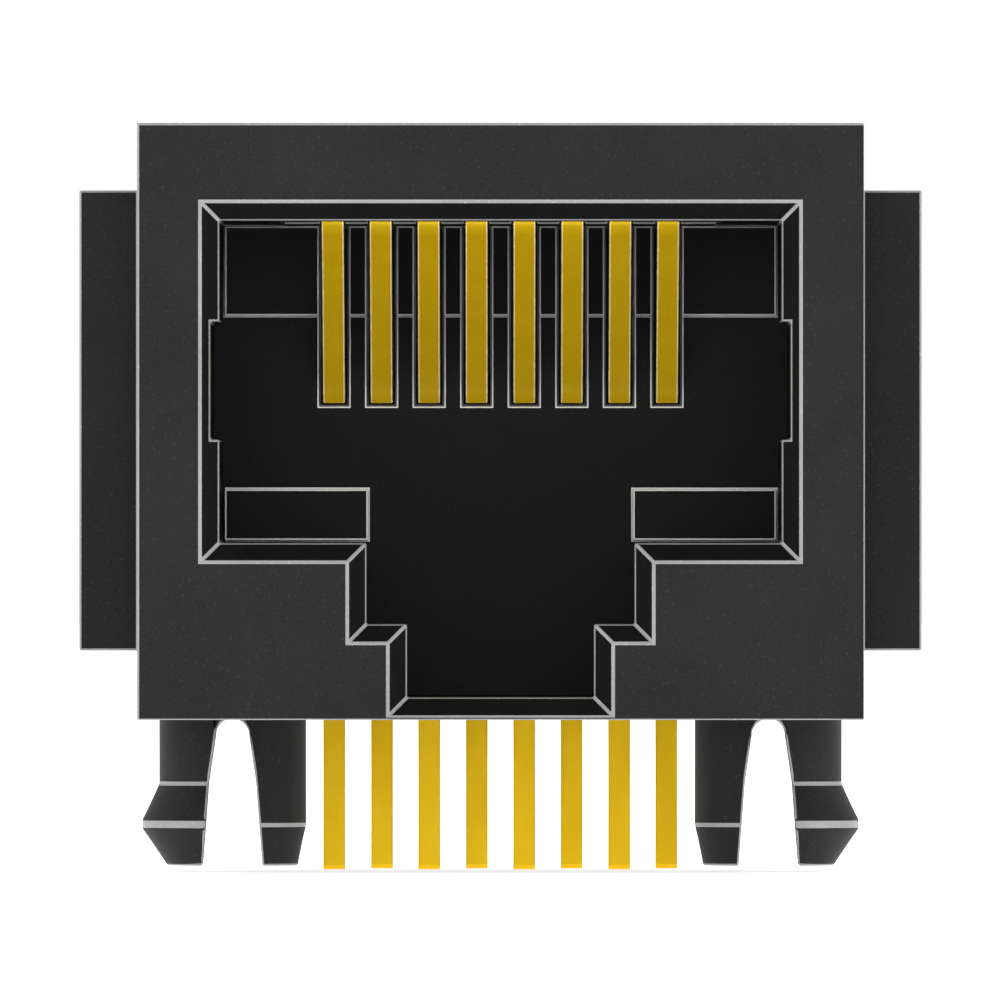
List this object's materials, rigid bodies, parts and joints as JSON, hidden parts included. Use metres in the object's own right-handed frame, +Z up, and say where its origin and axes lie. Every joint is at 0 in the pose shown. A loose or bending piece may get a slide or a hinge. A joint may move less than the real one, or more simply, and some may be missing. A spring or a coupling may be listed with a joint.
{
  "type": "rj45 board jack",
  "caption": "Side-entry board jack: black housing with stepped plug mouth, side panel stops and split snap pegs, rear carrier with comb, and formed gold wires with board tails.",
  "frame": {"origin": "midway between the two board pegs, on the housing's underside, which seats on the board", "axes": "+X to the right seen from the mouth, +Y to the rear (the plug goes in along +Y), +Z up from the board"},
  "size_m": [0.0178, 0.018, 0.0159],
  "materials": {
    "housing": "fine satin, black",
    "carrier": "fine satin, black",
    "contacts": "gold plated, satin"
  },
  "bodies": {
    "root": {"housing": "housing", "contact_carrier": "carrier", "contact_1": "contacts", "contact_2": "contacts", "contact_3": "contacts", "contact_4": "contacts", "contact_5": "contacts", "contact_6": "contacts", "contact_7": "contacts", "contact_8": "contacts"}
  },
  "joints": []
}
